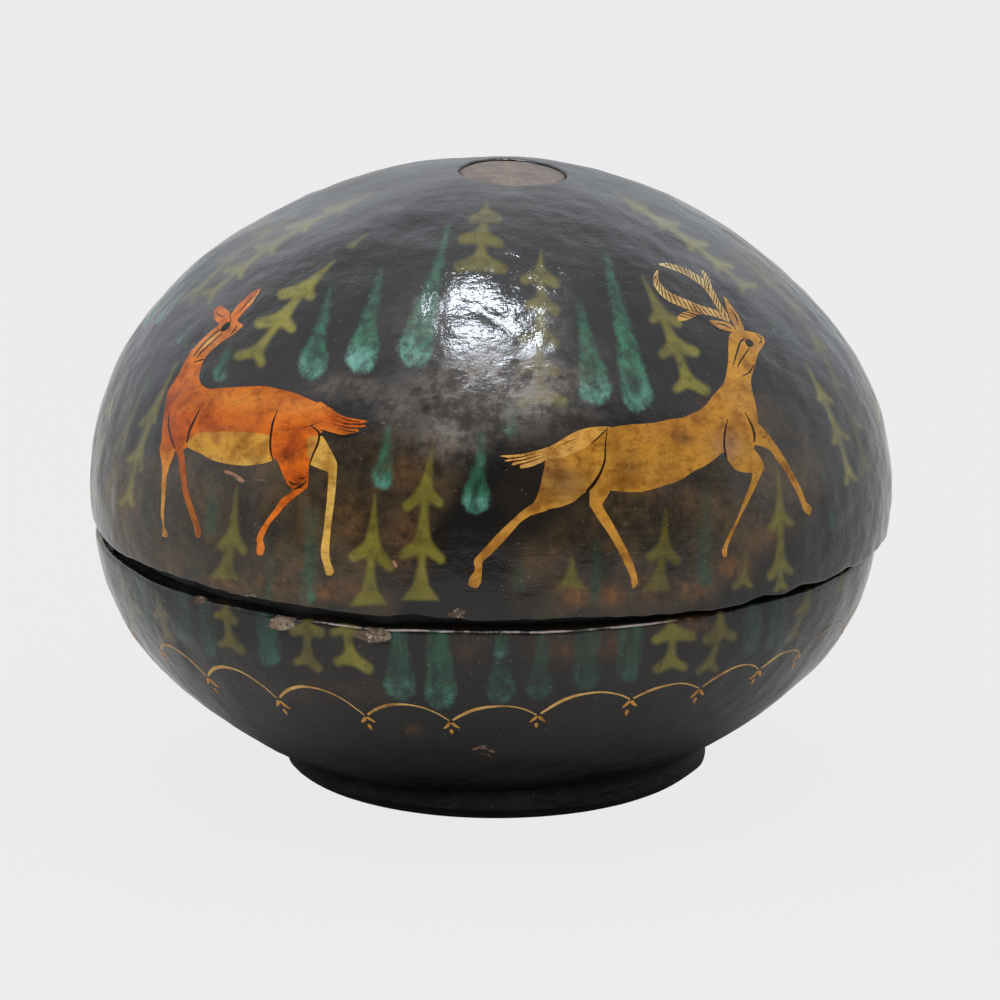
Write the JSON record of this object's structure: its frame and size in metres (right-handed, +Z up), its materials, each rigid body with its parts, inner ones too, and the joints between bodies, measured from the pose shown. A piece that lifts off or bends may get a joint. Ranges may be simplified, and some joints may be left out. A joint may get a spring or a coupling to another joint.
{
  "type": "lidded box",
  "caption": "Round bowl-shaped box on a low foot ring, with a domed lid that lifts off a locating collar; black lacquered papier-mache painted with animals among trees.",
  "frame": {"origin": "on the table under the middle of the box, at the bottom centre of its bounding box", "axes": "+Z up; -Y is the decorated front of the picture; +X to the right seen from the front"},
  "size_m": [0.24, 0.24, 0.1882],
  "materials": {
    "painted_lacquer": "gloss",
    "paper_pulp": "matte",
    "dark_lining": "satin",
    "bare_wood": "matte",
    "dark_card": "satin",
    "black_lacquer": "gloss"
  },
  "bodies": {
    "base": {"base_skin": "painted_lacquer", "base_shell": "paper_pulp", "base_lining": "dark_lining", "locating_collar": "dark_card", "foot_ring": "black_lacquer"},
    "lid": {"lid_skin": "painted_lacquer", "lid_shell": "paper_pulp", "lid_lining": "dark_lining", "crown_disc": "bare_wood"}
  },
  "joints": [
    {"name": "lid_lift", "type": "slide", "parent": "base", "child": "lid", "axis": [0, 0, 1], "range_m": [0, 0.15]}
  ]
}
